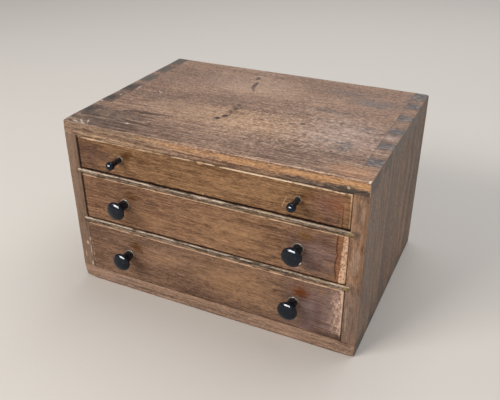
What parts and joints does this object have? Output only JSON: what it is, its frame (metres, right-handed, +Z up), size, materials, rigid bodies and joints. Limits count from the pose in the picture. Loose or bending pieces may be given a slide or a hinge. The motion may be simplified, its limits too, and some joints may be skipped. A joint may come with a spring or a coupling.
{
  "type": "collectors cabinet",
  "caption": "Small table-top collectors cabinet in worn dark wood: dovetailed case, full-width drawers that slide on thin dividers, turned black knobs, nailed-in back panel.",
  "frame": {"origin": "middle of the case's underside, on the surface that it stands on", "axes": "+X across the front, to the right as seen from the front; +Y from the front to the back; +Z up; the drawers open towards -Y"},
  "size_m": [0.3, 0.2348, 0.18],
  "materials": {
    "case_wood": "worn wax over dark stain",
    "divider_wood": "rubbed bare and grimy",
    "back_wood": "unpolished, oxidised",
    "drawer_front_wood": "worn wax polish",
    "drawer_wood": "unpolished, aged",
    "black_knob": "black gloss on turned wood",
    "nail_iron": "dull, slightly rusty"
  },
  "bodies": {
    "case": {"top_board": "case_wood", "bottom_board": "case_wood", "left_side_board": "case_wood", "right_side_board": "case_wood", "back_panel": "back_wood", "back_panel_nails": "nail_iron", "upper_divider": "divider_wood", "lower_divider": "divider_wood"},
    "upper_drawer": {"upper_drawer_front": "drawer_front_wood", "upper_drawer_left_side": "drawer_wood", "upper_drawer_right_side": "drawer_wood", "upper_drawer_back": "drawer_wood", "upper_drawer_bottom": "drawer_wood", "upper_drawer_nails": "nail_iron", "upper_left_knob": "black_knob", "upper_right_knob": "black_knob"},
    "middle_drawer": {"middle_drawer_front": "drawer_front_wood", "middle_drawer_left_side": "drawer_wood", "middle_drawer_right_side": "drawer_wood", "middle_drawer_back": "drawer_wood", "middle_drawer_bottom": "drawer_wood", "middle_drawer_nails": "nail_iron", "middle_left_knob": "black_knob", "middle_right_knob": "black_knob"},
    "lower_drawer": {"lower_drawer_front": "drawer_front_wood", "lower_drawer_left_side": "drawer_wood", "lower_drawer_right_side": "drawer_wood", "lower_drawer_back": "drawer_wood", "lower_drawer_bottom": "drawer_wood", "lower_drawer_nails": "nail_iron", "lower_left_knob": "black_knob", "lower_right_knob": "black_knob"}
  },
  "joints": [
    {"name": "upper_drawer_slide", "type": "slide", "parent": "case", "child": "upper_drawer", "axis": [0, -1, 0], "range_m": [0, 0.17]},
    {"name": "middle_drawer_slide", "type": "slide", "parent": "case", "child": "middle_drawer", "axis": [0, -1, 0], "range_m": [0, 0.17]},
    {"name": "lower_drawer_slide", "type": "slide", "parent": "case", "child": "lower_drawer", "axis": [0, -1, 0], "range_m": [0, 0.17]}
  ]
}
